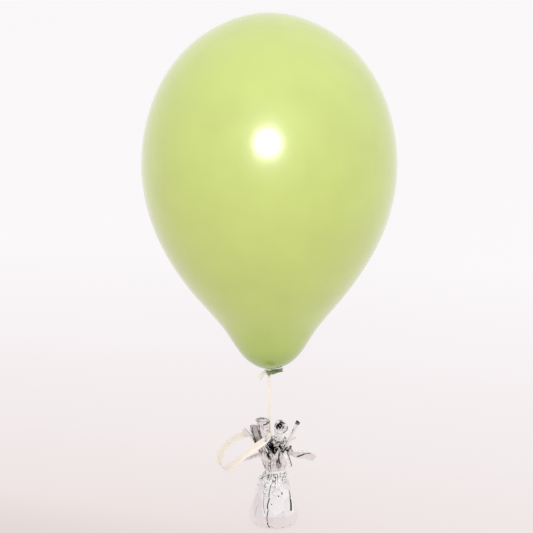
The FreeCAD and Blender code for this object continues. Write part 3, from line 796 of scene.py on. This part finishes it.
def make_ribbon_knots(ribbon):
    """The turn round the neck, the knots, the loop through the hook and the free end."""
    angle = np.linspace(0, 2 * np.pi, 73)
    centre = (LOOP_LOW + LOOP_HIGH) / 2
    line = centre + 3.1 * np.stack([np.cos(angle), np.sin(angle), 0.06 * np.sin(2 * angle)], axis=1)
    loop = ribbon_piece("ribbon_turn", line, np.tile((0.0, 0, 1), (len(line), 1)), ribbon, width=2.0)
    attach(loop, "balloon")
    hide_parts("ribbon_neck_loop")

    for name, node, body, low, high in (
        ("ribbon_knot_top", "ribbon_upper_knot", "neck_swivel", UPPER_KNOT_LOW, UPPER_KNOT_HIGH),
        ("ribbon_knot_bottom", "ribbon_lower_knot", "ribbon_loop", LOWER_KNOT_LOW, LOWER_KNOT_HIGH),
    ):
        middle, half = (low + high) / 2, (high - low) / 2
        t = np.linspace(0, 2 * np.pi, 121)
        line = middle + (half - 0.35) * overhand(t)
        side = np.cross(unit(np.gradient(line, axis=0)), unit(line - middle))
        knot = ribbon_piece(name, line, side, ribbon, width=1.5)
        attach(knot, body)
        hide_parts(node)

    middle = (LINK_LOW + LINK_HIGH) / 2
    line = middle + 2.3 * np.stack([0 * angle, np.cos(angle), np.sin(angle)], axis=1)
    link = ribbon_piece("ribbon_link", line, np.tile((1.0, 0, 0), (len(line), 1)), ribbon, width=1.4)
    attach(link, "ribbon_loop")
    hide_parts("ribbon_lower_loop")

    line = even(nurbs_line("tag_route", TAG_ROUTE), 0.4)
    side = np.tile((0.8, 0.1, -0.6), (len(line), 1))
    tag = ribbon_piece("ribbon_free_end", line, side, ribbon, width=TAG_WIDTH, cup=0.7)
    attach(tag, "neck_swivel")
    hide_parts("ribbon_tag_end")


# ---- Weight -------------------------------------------------------------------------------------

# The foil skirt's outline, from its underside up: (radius, height)
SKIRT_OUTLINE = [
    (0.5, 0.1), (12, 0.1), (21, 0.15), (25.2, 2.0), (27.2, 6.5), (26.8, 15), (24.0, 27),
    (20.8, 39), (17.8, 48.6), (15.4, 54.0), (12.4, 58.0), (11.0, 60.5), (10.6, 62.8),
]
# How far the skirt leans sideways, as (height, distance to the right)
SKIRT_LEAN = [(0, 0), (14, -0.7), (27, -1.3), (39, -1.6), (48.7, -2.0), (55, -0.4), (61, 0.85), (63, 0.9)]
# Creases pressed into the skirt, of which the shortest are dots, each darkened with painted shade: (turn and
# height of one end, turn and height of the other, depth, half width, darkness)
SKIRT_CREASES = [
    (0.718, 1.5, 0.706, 9.0, 1.3, 1.2, 0.9), (0.706, 9.0, 0.705, 23.0, 1.3, 0.9, 0.75),
    (0.705, 23.0, 0.714, 36.0, 1.3, 1.2, 0.95), (0.714, 36.0, 0.728, 51.0, 1.2, 1.0, 0.7),
    (0.940, 41.7, 0.925, 32.0, 1.6, 4.0, 0.95), (0.925, 32.0, 0.906, 18.0, 1.8, 3.4, 1.0),
    (0.657, 40.5, 0.682, 18.0, 1.0, 1.0, 0.6), (0.601, 28.8, 0.604, 10.8, 1.0, 0.9, 0.5),
    (0.798, 36.6, 0.800, 38.4, 0.5, 2.1, 1.0), (0.737, 27.8, 0.738, 29.4, 0.5, 2.1, 1.0),
    (0.827, 39.0, 0.837, 41.5, 0.6, 2.3, 1.0), (0.80, 1.2, 0.82, 2.2, 0.6, 1.2, 0.7),
    (0.86, 3.0, 0.90, 8.0, 0.8, 0.9, 0.4), (0.15, 6.0, 0.19, 42.0, 1.4, 1.3, 0.7),
    (0.33, 4.0, 0.30, 38.0, 1.3, 1.2, 0.7), (0.44, 12.0, 0.47, 46.0, 1.4, 1.2, 0.7),
    (0.02, 5.0, 0.05, 40.0, 1.3, 1.2, 0.7), (0.52, 5.0, 0.50, 24.0, 1.1, 1.2, 0.7),
]
SKIRT_GIRTH = 2 * np.pi * 24.0
COLLAR_X = 0.9
TIE_RADIUS, TIE_HEIGHT, TIE_THICKNESS, TIE_TURNS = 11.1, 60.4, 0.75, 2.0
FOIL_THICKNESS = 0.12


def sampled_outline(outline, count):
    """Radii, heights and shares of the way along, at even steps along an outline of (radius, height)."""
    outline = np.array(outline, dtype=float)
    along = distances(outline)
    levels = np.linspace(0, along[-1], count)
    radius, height = (np.interp(levels, along, outline[:, k])[:, None] for k in (0, 1))
    return radius, height, (levels / along[-1])[:, None]


def turned(radius, angle, middle_x, height):
    """Rows of points round a vertical axis."""
    return np.stack([radius * np.cos(angle) + middle_x, radius * np.sin(angle), height], axis=-1)


def crease(turns, height, start_turn, start_height, end_turn, end_height, half_width):
    """One sharp crease along a line on the skirt: 1 at its middle, 0 outside it, fading at both ends."""
    run = np.array([(end_turn - start_turn) * SKIRT_GIRTH, end_height - start_height])
    length = np.linalg.norm(run)
    run = run / length
    across = ((turns - start_turn + 0.5) % 1.0 - 0.5) * SKIRT_GIRTH
    up = height - start_height
    along = across * run[0] + up * run[1]
    off = np.abs(across * run[1] - up * run[0] + 0.5 * np.sin(along * 0.35))
    return within(along, 0, length, 1.2) * np.clip(1 - off / half_width, 0, 1)


def make_skirt(foil):
    """The foil skirt over the cup: big flat facets, long creases, gathers at the neck and a wrinkled hem,
    with painted shade and dark reflections in its creases.
    """
    radius, height, _ = sampled_outline(SKIRT_OUTLINE, 210)
    turns = np.linspace(0, 1, 640, endpoint=False)[None, :]
    u = turns * SKIRT_GIRTH + 0 * height
    v = height + 0 * turns
    standing = smooth_step(radius + 0 * turns, 16, 24) * (height > 1) + (height > 20)
    standing = np.clip(standing, 0, 1)
    big = facets(u, v * 0.55, 13.0, 11, tilt=0.12, period=SKIRT_GIRTH)
    small = facets(u, v, 4.2, 12, tilt=0.5, period=SKIRT_GIRTH)
    tiny = facets(u, v, 2.0, 13, tilt=0.6, period=SKIRT_GIRTH)
    high = smooth_step(v + 9 * patches(u, v, 9.0, 8) - 4, 34, 54)
    hem = 1 - smooth_step(v, 3, 11)
    gathers = fold_wave(turns + 0.006 * np.sin(v * 0.25), 14, 31) - 0.6
    push = (
        0.4 * big + small * (0.04 + 0.45 * high + 0.25 * hem) + tiny * (0.01 + 0.6 * high + 0.3 * hem)
        + gathers * (1.7 * smooth_step(v, 42, 57) - 0.4 * smooth_step(v, 58, 62))
    )
    # Painted shade: the sharpest creases, mostly high up and at the hem, are darkened, and the listed creases
    # add their own darkness
    lines = sharp_lines(push, (2, 3), 0.03, 0.11) * (0.3 + 0.8 * patches(u, v, 5.0, 3))
    lines = lines * (0.3 + 0.7 * np.maximum(high, hem))
    out = radius + push * standing
    for *ends, deep, half_width, darkness in SKIRT_CREASES:
        groove = crease(turns, v, *ends, half_width)
        out = out - deep * groove * standing
        lines = np.maximum(lines, darkness * smooth_step(groove, 0.3, 0.8))
    rows = turned(out, 2 * np.pi * turns, np.interp(v, *np.transpose(SKIRT_LEAN)), v)
    rows[..., 2] = np.maximum(rows[..., 2], 0.0)
    skirt = grid_piece("foil_skirt", rows, foil, wrap_columns=True, painted_shade=lines * standing, caps=("first",))
    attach(skirt, "weight")
    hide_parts("foil_wrap")


def make_ruff(name, foil, outline, pleats, depth, seed, ragged, tongues, crumple, shadows):
    """A pleated foil flare above the tie, its top edge cut into pointed tongues; ragged is their height.
    shadows are the deep places: (turn, half width in turns, lower height, upper height, darkness)."""
    radius, height, share = sampled_outline(outline, 76)
    turns = np.linspace(0, 1, 520, endpoint=False)[None, :]
    girth = 2 * np.pi * outline[-1][0]
    u = turns * girth + 0 * height
    v = height + 0 * turns
    drift = 0.007 * np.sin(v * 0.22 + 9 * turns) + 0.004 * np.sin(v * 0.5 + 40 * turns)
    wave = fold_wave(turns + drift, seed, pleats) - 0.55
    push = depth * wave * (0.6 + 0.4 * share)
    push = push + 0.35 * depth * (fold_wave(turns + 1.7 * drift, seed + 5, int(pleats * 2.3)) - 0.55)
    push = push + crumple * facets(u, v, 3.6, seed + 1, tilt=0.6, period=girth) * (0.35 + 0.65 * share)
    push = push + crumple * 0.7 * facets(u, v, 1.7, seed + 3, tilt=0.6, period=girth)
    rng = np.random.default_rng(seed + 2)
    edges = np.cumsum(rng.uniform(0.6, 1.4, tongues))
    edges = np.concatenate([[0], edges / edges[-1]])
    tips = np.interp(turns, (edges[1:] + edges[:-1]) / 2, rng.uniform(0.4, 1.0, tongues), period=1.0)
    nearest = np.min(np.abs((turns[..., None] - edges + 0.5) % 1.0 - 0.5), axis=-1) * tongues * 2
    rise = ragged * (np.clip(nearest, 0, 1) * tips - 0.35) * share**1.5
    level = height + rise
    rows = turned(np.maximum(radius + push, 1.5), 2 * np.pi * turns, COLLAR_X, level)
    # Painted shade: the ruff is darkened along its sharpest creases and in the listed shadows where it lies
    # deep
    lines = sharp_lines(push, (2, 3), 0.05, 0.2) * (0.35 + 0.65 * patches(u, v, 5.0, seed))
    for turn, half_width, low, high, darkness in shadows:
        off = np.abs((turns - turn + 0.5) % 1.0 - 0.5)
        near = 1 - smooth_step(off + 0 * v, half_width * 0.6, half_width)
        lines = np.maximum(lines, darkness * near * within(level, low, high, 1.5))
    ruff = grid_piece(name, rows, foil, wrap_columns=True, painted_shade=lines)
    thicken(ruff, FOIL_THICKNESS)
    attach(ruff, "weight")
    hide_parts("foil_collar")


def make_tie(foil):
    """The twist tie round the waist, two turns of it."""
    t = np.linspace(0, 2 * np.pi * TIE_TURNS, 190)
    climb = TIE_HEIGHT + 1.3 * t / (2 * np.pi) + 0.3 * np.sin(3 * t)
    line = turned(TIE_RADIUS + 0.25 * np.sin(7 * t), t, COLLAR_X, climb)
    _, side, normal = carried_frames(line, (0, 0, 1))
    angle = np.linspace(0, 2 * np.pi, 16, endpoint=False)
    size = (TIE_THICKNESS + 0.08 * np.sin(23 * t))[:, None] * (1 + 0.12 * np.sin(4 * angle)[None, :])
    rows = rings(line, size[..., None], side, normal, angle)
    tie = grid_piece("waist_tie", rows, foil, wrap_columns=True, caps=("first", "last"))
    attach(tie, "weight")
    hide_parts("neck_tie")


# ---- Foil fringe --------------------------------------------------------------------------------


def from_root(share, values):
    """Values given from root to tip, read at each share of the way."""
    return np.interp(share, np.linspace(0, 1, len(values)), values)


def foil_strip(node, foil, route, side, widths, rolls, seed, crumple, slant=0, shade=0, tip=0, marks=()):
    """A strip of foil along a route. side is the way its width lies, once or at even steps along it.
    widths and rolls run from root to tip: how wide it is, and how far round its cross-section curls, in
    turns. slant cuts its end at an angle. shade darkens all of it with painted shade and dark reflection, and
    tip darkens its last millimetres with painted shade where the inside of its open end shows. marks are dark
    lines of painted shade along it: (start, place, end, place, half width, darkness), where start and end are
    shares of its length and place is a share of its width."""
    line = even(nurbs_line(node + "_route", route), 0.5)
    share = np.linspace(0, 1, len(line))
    width = from_root(share, widths)[:, None]
    roll = from_root(share, rolls)[:, None] * 2 * np.pi
    tangent, across, normal = carried_frames(line, side if np.ndim(side) == 1 else side[0])
    if np.ndim(side) == 2:
        given = np.stack([from_root(share, part) for part in zip(*side)], axis=1)
        across = unit(given - tangent * np.sum(given * tangent, axis=1, keepdims=True))
        normal = np.cross(tangent, across)
    columns = 21 + int(44 * np.max(np.abs(rolls)))
    place = np.linspace(-0.5, 0.5, columns)[None, :]
    bend = np.where(np.abs(roll) < 1e-3, 1e-3, roll)
    radius = width / bend
    tighten = 1 - 0.16 * np.clip(np.abs(roll) / (2 * np.pi) - 0.9, 0, 1) * (place + 0.5)
    angle = bend * place
    sideways = radius * np.sin(angle) * tighten
    outwards = radius * (1 - np.cos(angle) * tighten)
    outwards = outwards - radius * smooth_step(np.abs(roll), 2.5, 5.5)
    u = place * width
    v = share[:, None] * len(line) * 0.5 + 0 * place
    push = crumple * facets(u, v, 3.0, seed, tilt=0.6)
    push = push + crumple * 0.6 * facets(u, v, 1.5, seed + 50, tilt=0.6)
    outwards = outwards + push
    shift = slant * place * smooth_step(share, 0.75, 1.0)[:, None]
    # Painted shade: the strip is darkened along its sharpest creases, all over by shade, at its tip and along
    # its marks
    lines = sharp_lines(push, (1, 1), 0.02 + 0.05 * crumple, 0.06 + 0.16 * crumple, wrap=False)
    lines = lines * (0.3 + 0.7 * patches(u, v, 4.0, seed))
    lines = np.maximum(lines, shade * (0.75 + 0.25 * np.sin(4 * v + u)))
    lines = np.maximum(lines, 0.66 * smooth_step(v, v.max() - tip - 0.3, v.max() - tip + 0.1) * (tip > 0))
    for start, start_place, end, end_place, half_width, darkness in marks:
        along = np.clip((share[:, None] - start) / (end - start), 0, 1)
        off = np.abs(place - (start_place + (end_place - start_place) * along)) * width
        inside = (share[:, None] > start) & (share[:, None] < end)
        lines = np.maximum(lines, darkness * inside * (1 - smooth_step(off, half_width * 0.5, half_width)))
    rows = (
        line[:, None, :] + sideways[..., None] * across[:, None, :] + outwards[..., None] * normal[:, None, :]
        + shift[..., None] * tangent[:, None, :]
    )
    strip = grid_piece(node + "_foil", rows, foil, painted_shade=lines)
    thicken(strip, FOIL_THICKNESS)
    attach(strip, "weight")
    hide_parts(node)


FUNNEL_X, FUNNEL_BACK_Y, FUNNEL_Z = 6.4, -4.0, 115.4
FUNNEL_DEPTH, FUNNEL_TURNS = 9.0, 1.2


def make_curl(foil):
    """The strip whose end is curled into a funnel that narrows towards the back."""
    foil_strip(
        "fringe_strip_05", foil, [(3.2, -6.6, 70), (4.6, -7.8, 84), (6.4, -8.6, 98), (7.6, -8.8, 112)],
        (0.95, 0.3, 0), [5, 6, 7.0, 6.0], [0.1, 0.15, 0.25], 25, crumple=0.45,
    )
    share = np.linspace(0, 1, 40)[:, None]
    turn = np.linspace(0, FUNNEL_TURNS, 150)[None, :]
    angle = 2 * np.pi * turn - 1.2
    radius = (0.4 + 6.6 * share**0.8) * (1 + 0.10 * turn) * (1 + 0.07 * np.cos(3 * angle + 0.6))
    forward = FUNNEL_DEPTH * share + 0.5 * turn
    rows = np.stack([
        FUNNEL_X + 0.6 * share + radius * np.cos(angle), FUNNEL_BACK_Y - forward + 0.8 * np.sin(2 * angle),
        FUNNEL_Z + 1.2 * share + radius * np.sin(angle) * 1.08,
    ], axis=-1)
    u, v = angle * 5.0 + 0 * share, share * FUNNEL_DEPTH + 0 * turn
    crinkle = 0.3 * facets(u, v, 2.6, 61, tilt=0.6)
    rows[..., 1] += crinkle
    # Painted shade: the funnel is darkened deep inside, along its rim and in its creases
    hollow_shade = 1 - smooth_step(radius * (1 - 0.22 * np.cos(3 * (angle + np.pi / 2))), 2.2, 2.7)
    rim_shade = 0.55 * smooth_step(share + 0 * turn, 0.93, 0.98)
    lines = np.maximum(np.maximum(hollow_shade, rim_shade), 0.4 * sharp_lines(crinkle, (1, 1), 0.05, 0.14, wrap=False))
    funnel = grid_piece("fringe_strip_05_curl", rows, foil, painted_shade=lines)
    thicken(funnel, FOIL_THICKNESS)
    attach(funnel, "weight")


# The way strip 07's width lies, as it leaves the collar and then along its bent arm
ARM_SIDES = [
    (0.4, 0.8, 0), (0.1, 0.6, 0.5), (0, -0.15, 0.95), (0, -0.15, 0.97),
    (0, -0.15, 0.97), (0, -0.2, 0.97), (0.15, -0.2, 0.95), (0.4, -0.2, 0.88),
]
# The strips at the back leave the collar alike, as (distance from the weight's axis, height), then differ
BACK_ROOT = [(9.5, 66), (12.0, 74), (15.2, 84.5)]
BACK_STRIPS = {
    "fringe_strip_09": (20, [(19, 92), (23, 94.5), (27, 97)]),
    "fringe_strip_10": (50, [(18, 95), (21, 99), (24, 103)]),
    "fringe_strip_11": (82, [(17, 94), (18.5, 100), (20, 105)]),
    "fringe_strip_12": (114, [(20, 92), (28, 90), (32, 85.5), (35, 80)]),
    "fringe_strip_13": (160, [(16.5, 95), (19, 100), (22, 104)]),
}


def make_front_strips(foil):
    """The strips at the front and sides, each where its CAD strip stands."""
    foil_strip(
        "fringe_strip_01", foil,
        [(-8, -3, 70), (-12, -5.5, 86), (-18.5, -7.0, 96.3), (-26.5, -6.2, 104.2), (-34.3, -4.8, 112.6)],
        (0.2, -1, 0), [6, 9, 19, 19, 22], [0.1, 0.3, 1.12, 1.12, 1.05], 21, crumple=0.14, slant=3,
        marks=[(0.45, -0.32, 0.97, -0.30, 0.9, 0.85)],
    )
    foil_strip(
        "fringe_strip_02", foil,
        [(-6.5, -6.2, 70), (-12.5, -11, 86), (-17.8, -15.6, 98), (-20.8, -18, 109.9), (-23.6, -19.2, 120.9)],
        (1, 0.1, 0), [5, 6, 8.5, 11.0, 9.5], [-0.1, -0.2, -0.28, -0.32, -0.3], 22, crumple=0.22, slant=-2,
        shade=0.62, marks=[(0.5, -0.3, 0.95, -0.25, 0.7, 0.85), (0.5, 0.38, 0.9, 0.34, 0.6, 0.8)],
    )
    foil_strip(
        "fringe_strip_03", foil,
        [(-3.5, -7.0, 70), (-8.5, -9.4, 86), (-12.2, -11.4, 98), (-13.1, -13.6, 111), (-13.4, -16.0, 125)],
        (-0.8, -0.3, 0), [7, 12, 26, 40, 54], [0.15, 0.4, 1.0, 1.08, 1.08], 23, crumple=0.5, slant=5, tip=0.5,
        marks=[
            (0.62, -0.17, 0.86, -0.19, 2.2, 0.8), (0.7, -0.05, 0.88, -0.09, 1.0, 0.7),
            (0.6, 0.3, 0.93, 0.33, 0.7, 0.7),
        ],
    )
    foil_strip(
        "fringe_strip_04", foil,
        [(6.4, -1.4, 70), (10.5, -2.4, 84), (16.9, -4, 99.0), (21.9, -3.5, 109.5), (27.0, -3, 119.6)],
        (0.2, 1, 0), [5, 6, 14, 15, 17], [0.1, 0.3, 1.1, 1.12, 1.08], 24, crumple=0.1, slant=2, tip=2.6,
    )
    make_curl(foil)
    foil_strip(
        "fringe_strip_06", foil,
        [(-6.5, -5.5, 70), (-11.5, -8.5, 82.5), (-18.5, -12, 85.0), (-28, -14.5, 81.5), (-37.6, -16, 77.6)],
        (0, -0.3, 0.95), [5, 7.5, 9.5, 8.5, 2.5], [-0.05, -0.14, -0.14, -0.1], 26, crumple=0.25,
        marks=[(0.5, 0.42, 0.99, 0.40, 0.7, 0.7), (0.6, -0.1, 0.85, 0.05, 0.4, 0.5)],
    )
    foil_strip(
        "fringe_strip_07", foil,
        [
            (8, -2.5, 70), (11.0, -3.8, 82), (15.5, -5, 85.5), (21, -6.5, 84.0),
            (27, -8, 82.2), (33, -9, 82.8), (39.5, -9.4, 82.0), (45.6, -9, 78.0),
        ],
        ARM_SIDES, [5, 6, 7.5, 9.5, 11.0, 8.5], [-0.05, -0.1, -0.1, -0.12, -0.1], 27, crumple=0.5,
        marks=[
            (0.58, -0.25, 0.74, 0.1, 1.2, 0.9), (0.74, 0.1, 0.86, 0.32, 0.9, 0.7),
            (0.5, 0.1, 0.6, 0.3, 0.5, 0.6),
        ],
    )
    foil_strip(
        "fringe_strip_08", foil,
        [(5.5, -6, 70), (8.5, -9.5, 84), (11.5, -12.8, 87.5), (15.2, -14.8, 80.5), (18.6, -16.2, 70.6)],
        [(0.8, 0.6, 0), (0.8, 0.5, 0.1), (0.8, 0.2, 0.4), (0.9, 0.1, 0.35), (0.9, 0, 0.3)], [5, 6, 5.5, 4.5],
        [0.1, 0.2, 0.22], 28, crumple=0.35, marks=[(0.55, 0.4, 0.98, 0.38, 0.8, 0.7)],
    )


def make_back_strips(foil):
    """The short strips round the back."""
    for index, (node, (azimuth, path)) in enumerate(BACK_STRIPS.items()):
        cos, sin = math.cos(math.radians(azimuth)), math.sin(math.radians(azimuth))
        foil_strip(
            node, foil, [(r * cos, r * sin, z) for r, z in BACK_ROOT + path], (-sin, cos, 0),
            [6, 6.5, 7, 6.5, 5.5], [0.12, 0.1, 0.16, 0.2, 0.1], 40 + index, crumple=0.3,
            slant=1.5 * (-1) ** index,
        )


# ---- Build --------------------------------------------------------------------------------------


def paint_cad_nodes():
    """Materials for the CAD pieces that stay: the hook, and the cup, its fill and its card in the foil."""
    for node, material in {
        "ribbon_hook": plain_material("hook_steel", (0.35, 0.35, 0.36), (0.55, 0.55, 0.57), 0.3, metallic=1),
        "weight_cup": plain_material("cup_plastic", (0.72, 0.72, 0.7), (0.8, 0.8, 0.78), 0.5),
        "weight_fill": plain_material("plaster", (0.74, 0.71, 0.66), (0.86, 0.84, 0.8), 0.85),
        "base_disc": plain_material("card", (0.45, 0.36, 0.25), (0.56, 0.47, 0.34), 0.9),
    }.items():
        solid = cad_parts[node]
        solid.data.materials.clear()
        solid.data.materials.append(material)


def build():
    make_camera()
    latex = latex_material()
    foil = foil_material()
    ribbon = ribbon_material()
    make_ring(ribbon)
    make_strand(ribbon)
    make_ribbon_knots(ribbon)
    skin = make_envelope(latex)
    make_neck(latex)
    glossy_latex = [skin, make_knot(latex), make_tail(latex), make_lip(latex)]
    make_skirt(foil)
    make_ruff(
        "foil_collar_outer", foil, [(10.4, 62.6), (12.0, 66), (15.0, 75), (17.2, 83), (18.4, 88)],
        pleats=23, depth=2.6, seed=31, ragged=9.0, tongues=13, crumple=0.6,
        shadows=[(0.68, 0.013, 82, 91, 0.9), (0.79, 0.01, 77, 88, 0.85), (0.73, 0.015, 89, 96, 0.9)],
    )
    make_ruff(
        "foil_collar_inner", foil, [(3.5, 63), (5.5, 72), (9.0, 86), (12.5, 98)],
        pleats=13, depth=3.0, seed=36, ragged=9.0, tongues=8, crumple=0.9,
        shadows=[(0.69, 0.05, 84, 104, 0.95), (0.83, 0.02, 84, 96, 0.8), (0.60, 0.03, 84, 100, 0.7)],
    )
    make_tie(foil)
    make_front_strips(foil)
    make_back_strips(foil)
    paint_cad_nodes()
    make_world()
    make_stage()
    make_lights(glossy_latex)


build()
bpy.context.scene.view_settings.view_transform = "Standard"
